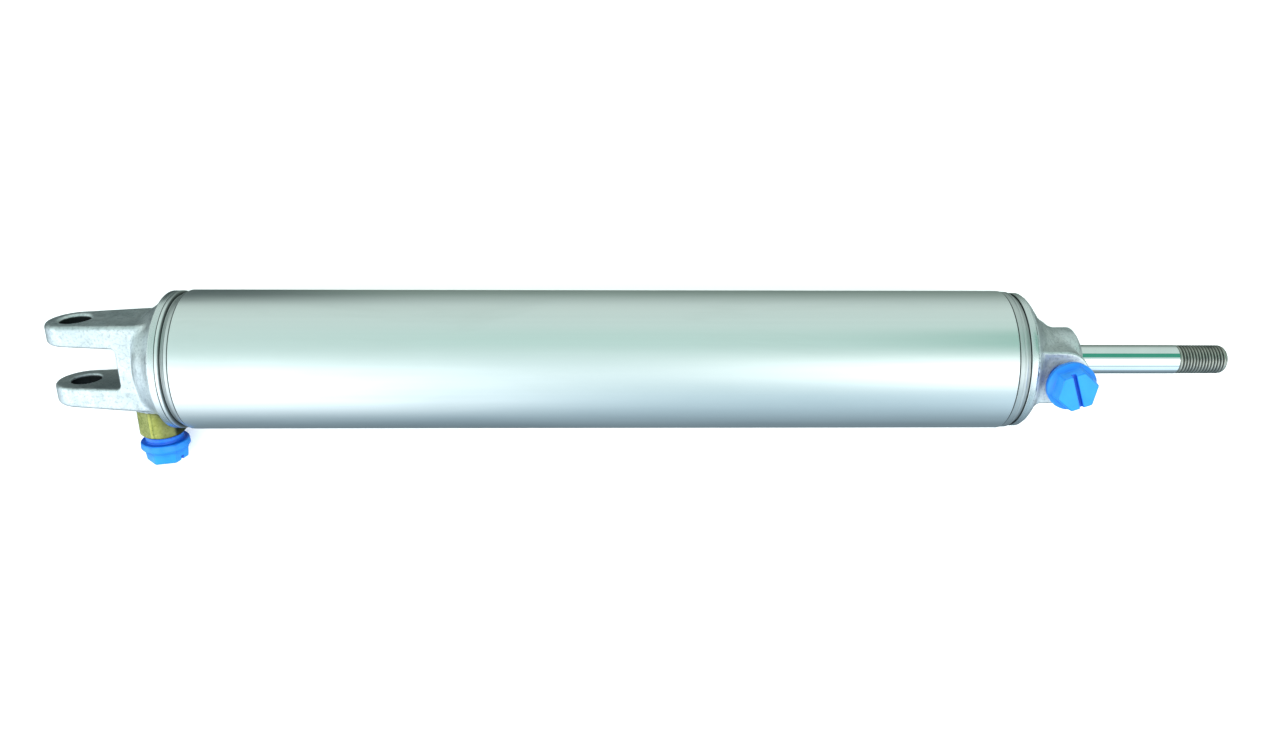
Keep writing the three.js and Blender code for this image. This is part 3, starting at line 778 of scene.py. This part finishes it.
def plug_field(turn):
    """A plug's field, along h from the face that it closes, with the turn counted from u towards v."""
    outline = filleted([
        (-PLUG_SHANK, -3, 0), (-PLUG_SHANK, 5.4, 0), (1 - PLUG_SHANK, PORT_SHANK_R, 0),
        (0.1, PORT_SHANK_R, 0), (0.1, NECK_R, 0.3),
        (NECK, NECK_R, 0.4), (NECK, FLANGE_R - 0.3, 0.8), (FLANGE - 1.5, FLANGE_R, 0.7),
        (FLANGE, FLANGE_R - 1.9, 0.6), (FLANGE, -3, 0),
    ], 20)

    def field(h, u, v):
        radius = np.hypot(u, v)
        body = outline_field(h, radius, outline)
        draft = 0.1 * (h - FLANGE) - 0.4
        head = hexagon_field(u, v, PLUG_FLATS - 2 * draft, turn, 0.7)
        head = smooth_max(head, np.maximum(h - PLUG_TOP, FLANGE - 3 - h), 0.8)
        body = smooth_min(body, head, 1.6)
        angle = math.radians(turn + 90)
        across = -u * math.sin(angle) + v * math.cos(angle)
        slot = np.maximum(np.abs(across) - PLUG_SLOT_HALF, PLUG_TOP - PLUG_SLOT_DEPTH - h)
        return smooth_max(body, -slot, 0.5)

    return field


def adapter_field(h, u, v):
    """The adapter's field, along h outwards from the cylinder's axis. Its skirt hides the seal under it."""
    body = hexagon_field(u, v, ADAPTER_FLATS, ADAPTER_TURN, 1.1)
    body = np.maximum(body, np.maximum(h - ADAPTER_TOP, ADAPTER_SKIRT - h))
    radius = np.hypot(u, v)
    seal_recess = np.maximum(radius - ADAPTER_SEAL_R, h - ADAPTER_START)
    body = np.maximum(body, -seal_recess)
    cone = (radius - 9.3 - (ADAPTER_TOP - h) * 1.45) / 1.76
    body = smooth_max(body, cone, 0.3)
    lower = (radius - 10.3 - (h - ADAPTER_SKIRT) * 1.7) / 1.97
    body = smooth_max(body, lower, 0.3)
    shank = np.maximum(radius - PORT_SHANK_R, np.maximum(PORT_FLOOR + 1 - h, h - 30))
    body = np.minimum(body, shank)
    hole = np.maximum(radius - PORT_R, ADAPTER_TOP - ADAPTER_HOLE - h)
    return smooth_max(body, -hole, 0.3)


def from_rear_port(points):
    """Points along (outwards, x, z) of the rear port, in the cylinder's frame."""
    h, u, v = np.asarray(points).T
    return np.stack([REAR_PORT_X + u, -h, v], axis=1)


def from_front_port(points):
    """Points along (outwards, x, y) of the front port, in the cylinder's frame."""
    h, u, v = np.asarray(points).T
    return np.stack([FRONT_PORT_X + u, v, h], axis=1)


def around_rear_port(h, u, v):
    """The field of all that stands around the rear plug: its adapter, the casting and the tube."""
    x, y, z = REAR_PORT_X + u, -h, v
    tube = np.maximum(np.hypot(y, z) - TUBE_R, TUBE_START - x)
    casting = np.minimum(rear_casting_field(x, y, z), tube)
    return np.minimum(adapter_field(h, u, v), casting)


def around_front_port(h, u, v):
    """The front casting's field, seen from the front port."""
    return front_casting_field(FRONT_PORT_X + u, v, h)


def ports():
    points, faces = surface(adapter_field, (14.5, -12, -12), (ADAPTER_TOP + 1, 12, 12), 0.3)
    # Painted shade: the brass darker where the casting and the tube close it in, and darker on its side
    # towards the tube
    crowd = crowding(around_rear_port, points, faces, PLUG_REACHES)
    crowd += 0.4 * np.clip(points[:, 1] / 4, 0, 1)
    verts, faces = outward_quads(from_rear_port(points), faces)
    piece("rear_port_brass", verts, faces, "barrel", MATERIALS["brass"],
          ["rear_port_adapter"], 30, crowd)
    plugs = [
        ("rear_plug_moulding", "rear_port_plug", ADAPTER_TOP, REAR_PLUG_TURN,
         from_rear_port, around_rear_port),
        ("front_plug_moulding", "front_port_plug", FRONT_SEAT, FRONT_PLUG_TURN,
         from_front_port, around_front_port),
    ]
    for name, node, seat, turn, place, around in plugs:
        field = plug_field(turn)

        def with_surroundings(h, u, v):
            return np.minimum(field(h, u, v), around(h + seat, u, v))

        points, faces = surface(field, (-0.6 - PLUG_SHANK, -12.8, -12.8), (PLUG_TOP + 0.8, 12.8, 12.8), 0.28)
        # Painted shade: the plug darker where its adapter or casting closes it in, and its neck and flange
        # darker all over
        crowd = crowding(with_surroundings, points, faces, PLUG_REACHES)
        crowd += 0.12 * (points[:, 0] < FLANGE + 0.6)
        verts, faces = outward_quads(place(points + np.array([seat, 0, 0])), faces)
        piece(name, verts, faces, "barrel", MATERIALS["blue_plastic"], [node], 50, crowd)


def outward_quads(verts, faces):
    """The same quads, turned over if they face inwards."""
    a, b, c, d = (verts[faces[:, k]] for k in range(4))
    volume = (a * np.cross(b, c)).sum() + (a * np.cross(c, d)).sum()
    return verts, faces[:, ::-1] if volume < 0 else faces


def rod():
    shaft = filleted([
        (ROD_BACK - 38, 0, 0),
        (ROD_BACK - 38, 4, 0),
        (ROD_BACK - 37, 5, 0),
        (ROD_BACK + 0.3, 5, 0),
        (ROD_BACK + 0.3, ROD_R, 0),
        (THREAD_START - 0.1, ROD_R, 0.3),
        (THREAD_START + 0.3, 6.2, 0),
        (THREAD_START + 0.3, 0, 0),
    ])
    verts, faces = turned(shaft, 128)
    piece("rod_shaft", verts, faces, "rod", MATERIALS["chromed_steel"],
          ["piston_rod"], 30)
    verts, faces = thread()
    # Painted shade in the thread's roots
    depth = THREAD_MAJOR - np.hypot(verts[:, 1], verts[:, 2])
    on_thread = verts[:, 0] < ROD_TIP - 2.8
    crowd = np.clip(depth / (THREAD_MAJOR - THREAD_MINOR), 0, 1) * 0.7 * on_thread
    piece("rod_thread", verts, faces, "rod", MATERIALS["zinc_steel"],
          ["piston_rod"], 60, crowd)


def thread():
    """The rod's end, with a right-handed thread that runs out into the shaft and a rounded tip."""
    around = 120
    rings = 250
    major, minor = THREAD_MAJOR, THREAD_MINOR
    start = THREAD_START + 0.1
    length = ROD_TIP - start
    k = np.arange(around)
    angle = 2 * math.pi * k / around
    verts = [(start, 0, 0)]
    for i in range(rings + 1):
        distance = length * i / rings
        phase = (distance / THREAD_PITCH - k / around) % 1
        ridge = np.clip(2.6 * np.minimum(phase, 1 - phase) - 0.12, 0, 1)
        depth = (major - minor) * min(1, distance / 1.2)
        radius = major - depth + depth * np.clip(ridge, 0, 1)
        to_tip = length - distance
        envelope = THREAD_MAJOR - TIP_R + math.sqrt(TIP_R ** 2 - max(0, TIP_R - to_tip) ** 2)
        radius = np.minimum(radius, envelope)
        ring = (np.full(around, start + distance), radius * np.cos(angle), radius * np.sin(angle))
        verts += list(zip(*ring))
    verts.append((start + length, 0, 0))
    faces = []
    last = len(verts) - 1
    for j in range(around):
        after = (j + 1) % around
        faces.append((0, 1 + after, 1 + j))
        faces.append((last, last - around + j, last - around + after))
        for i in range(rings):
            low = 1 + i * around
            high = low + around
            faces.append((low + j, low + after, high + after, high + j))
    return outward(np.array(verts, float), faces)


# Stage

def stage():
    floor = bpy.data.meshes.new("floor")
    corners = [(x * FLOOR_HALF, y * FLOOR_HALF, 0) for x, y in ((-1, -1), (1, -1), (1, 1), (-1, 1))]
    floor.from_pydata(corners, [], [(0, 1, 2, 3)])
    made = bpy.data.objects.new("floor", floor)
    bpy.context.collection.objects.link(made)
    paint = Paint("pale_floor", (0.9, 0.9, 0.9), 0.0, 0.8, Emission_Color=(1, 1, 1, 1), Emission_Strength=0.3)
    cloud = paint.noise(5, 2, 0.5)
    paint.use("Base Color", paint.mix(cloud, (0.89, 0.89, 0.89), (0.91, 0.91, 0.91)))
    made.data.materials.append(paint.material)
    made.visible_glossy = False


def area_light(name, place, target, size, power, colour=(1, 1, 1)):
    """A soft light that leaves no outline of itself in the metal."""
    light = bpy.data.lights.new(name, "AREA")
    light.shape = "RECTANGLE"
    light.size, light.size_y = size
    light.energy = power
    light.color = colour
    made = bpy.data.objects.new(name, light)
    bpy.context.collection.objects.link(made)
    made.location = place
    made.rotation_euler = (Vector(target) - Vector(place)).to_track_quat("-Z", "Y").to_euler()
    made.visible_glossy = False


class Sky:
    """The studio around the part, coloured by the height of a direction around the x axis and by its x."""

    def __init__(self, stops):
        world = bpy.data.worlds.new("studio")
        bpy.context.scene.world = world
        world.use_nodes = True
        self.tree = world.node_tree
        self.background = self.tree.nodes["Background"]
        direction = self.tree.nodes.new("ShaderNodeTexCoord").outputs["Generated"]
        parts = self.tree.nodes.new("ShaderNodeSeparateXYZ")
        self.tree.links.new(direction, parts.inputs[0])
        turn = self.math("ARCTAN2", parts.outputs["Y"], parts.outputs["Z"])
        self.turn = self.math("MULTIPLY", turn, 180 / math.pi)
        self.across = parts.outputs["X"]
        ramp = self.tree.nodes.new("ShaderNodeValToRGB")
        self.tree.links.new(self.ramp(self.turn, -180, 180), ramp.inputs["Fac"])
        elements = ramp.color_ramp.elements
        while len(elements) < len(stops):
            elements.new(0.5)
        for element, (degrees, colour) in zip(elements, stops):
            element.position = (degrees + 180) / 360
            element.color = (*colour, 1)
        self.colour = ramp.outputs["Color"]

    def math(self, operation, first, second):
        made = self.tree.nodes.new("ShaderNodeMath")
        made.operation = operation
        for index, value in enumerate((first, second)):
            if isinstance(value, bpy.types.NodeSocket):
                self.tree.links.new(value, made.inputs[index])
            else:
                made.inputs[index].default_value = value
        return made.outputs["Value"]

    def ramp(self, value, low, high):
        made = self.tree.nodes.new("ShaderNodeMapRange")
        made.interpolation_type = "SMOOTHSTEP" if abs(high - low) < 180 else "LINEAR"
        self.tree.links.new(value, made.inputs["Value"])
        made.inputs["From Min"].default_value = low
        made.inputs["From Max"].default_value = high
        return made.outputs["Result"]

    def window(self, value, low, high, soft_low, soft_high):
        """One between low and high, falling to nothing over the soft distance outside each."""
        rise = self.ramp(value, low - soft_low, low)
        fall = self.ramp(value, high + soft_high, high)
        return self.math("MULTIPLY", rise, fall)

    def panel(self, turn, across, colour, strength, blend="ADD"):
        """Adds a soft panel between two angles from straight up, positive away from the camera."""
        cover = self.math("MULTIPLY", self.window(self.turn, *turn), self.window(self.across, *across))
        made = self.tree.nodes.new("ShaderNodeMix")
        made.data_type = "RGBA"
        made.blend_type = blend
        self.tree.links.new(self.math("MULTIPLY", cover, strength), made.inputs[0])
        self.tree.links.new(self.colour, made.inputs[6])
        made.inputs[7].default_value = (*colour, 1)
        self.colour = made.outputs[2]

    def finish(self, strength):
        self.tree.links.new(self.colour, self.background.inputs["Color"])
        self.background.inputs["Strength"].default_value = strength


def lights():
    sky = Sky([
        (-180, (0.10, 0.13, 0.15)),
        (-140, (0.18, 0.25, 0.30)),
        (-100, (0.36, 0.50, 0.58)),
        (-75, (0.50, 0.68, 0.77)),
        (0, (0.57, 0.75, 0.72)),
        (80, (0.57, 0.69, 0.65)),
        (98, (0.54, 0.64, 0.61)),
        (114, (0.31, 0.39, 0.36)),
        (130, (0.17, 0.23, 0.20)),
        (180, (0.08, 0.10, 0.09)),
    ])
    sky.panel((-75, -42, 50, 48), (-0.95, -0.27, 0.1, 0.22), (1, 1, 1), 0.9)
    sky.panel((-165, -105, 10, 25), (-0.98, -0.72, 0.05, 0.12), (0.13, 0.16, 0.21), 1)
    sky.panel((-106, -78, 8, 8), (0.48, 0.95, 0.04, 0.1), (0.7, 0.84, 1.0), 0.6)
    sky.panel((-38, -14, 14, 14), (0.16, 0.95, 0.1, 0.1), (1, 0.95, 0.92), 0.5)
    sky.panel((-58, -16, 8, 5), (0.38, 0.95, 0.12, 0.1), (1, 0.98, 0.96), 0.8)
    sky.panel((8, 37, 5, 5), (0.44, 0.95, 0.1, 0.1), (0.03, 0.3, 0.2), 0.95, "MIX")
    sky.panel((12, 35, 5, 5), (-0.2, 0.1, 0.2, 0.2), (0.36, 0.66, 0.56), 0.4, "MIX")
    sky.panel((-60, -15, 10, 10), (-0.08, 0.06, 0.12, 0.1), (0.4, 0.56, 0.6), 0.6, "MIX")
    sky.panel((108, 180, 14, 10), (-0.95, -0.34, 0.1, 0.12), (0.03, 0.045, 0.05), 0.95, "MIX")
    sky.panel((-180, 60, 1, 30), (-1, -0.84, 0.01, 0.14), (0.75, 0.85, 0.85), 0.5)
    sky.finish(1.1)
    area_light("overhead", (0, -0.2, 1.3), (0, 0, 0), (1.8, 1.4), 12)
    area_light("front_fill", (0, -1.3, 0.7), (0, 0, 0), (1.8, 0.6), 3, (0.92, 0.95, 1))
    bpy.context.scene.view_settings.view_transform = "Standard"


def camera():
    """The camera looks steeply down on the part from its near side."""
    toward = Vector((0, -math.cos(CAMERA_ELEVATION), math.sin(CAMERA_ELEVATION)))
    up = Vector((0, math.sin(CAMERA_ELEVATION), math.cos(CAMERA_ELEVATION)))
    along_x = Vector((1, 0, 0))
    right = along_x * math.cos(CAMERA_YAW) + toward * math.sin(CAMERA_YAW)
    back = right.cross(up)
    made = bpy.data.objects.new("camera", bpy.data.cameras.new("camera"))
    bpy.context.collection.objects.link(made)
    place = AXIS_POINT + along_x * CAMERA_X + toward * CAMERA_DISTANCE + up * CAMERA_UP
    turn = Matrix((right, up, back)).transposed().to_4x4()
    made.matrix_world = Matrix.Translation(place) @ turn
    made.data.lens = CAMERA_LENS
    made.data.sensor_width = 36
    made.data.clip_start = 0.01
    bpy.context.scene.camera = made


camera()
stage()
lights()
paint_nodes()
barrel_tube()
rear_cap()
front_cap()
ports()
rod()
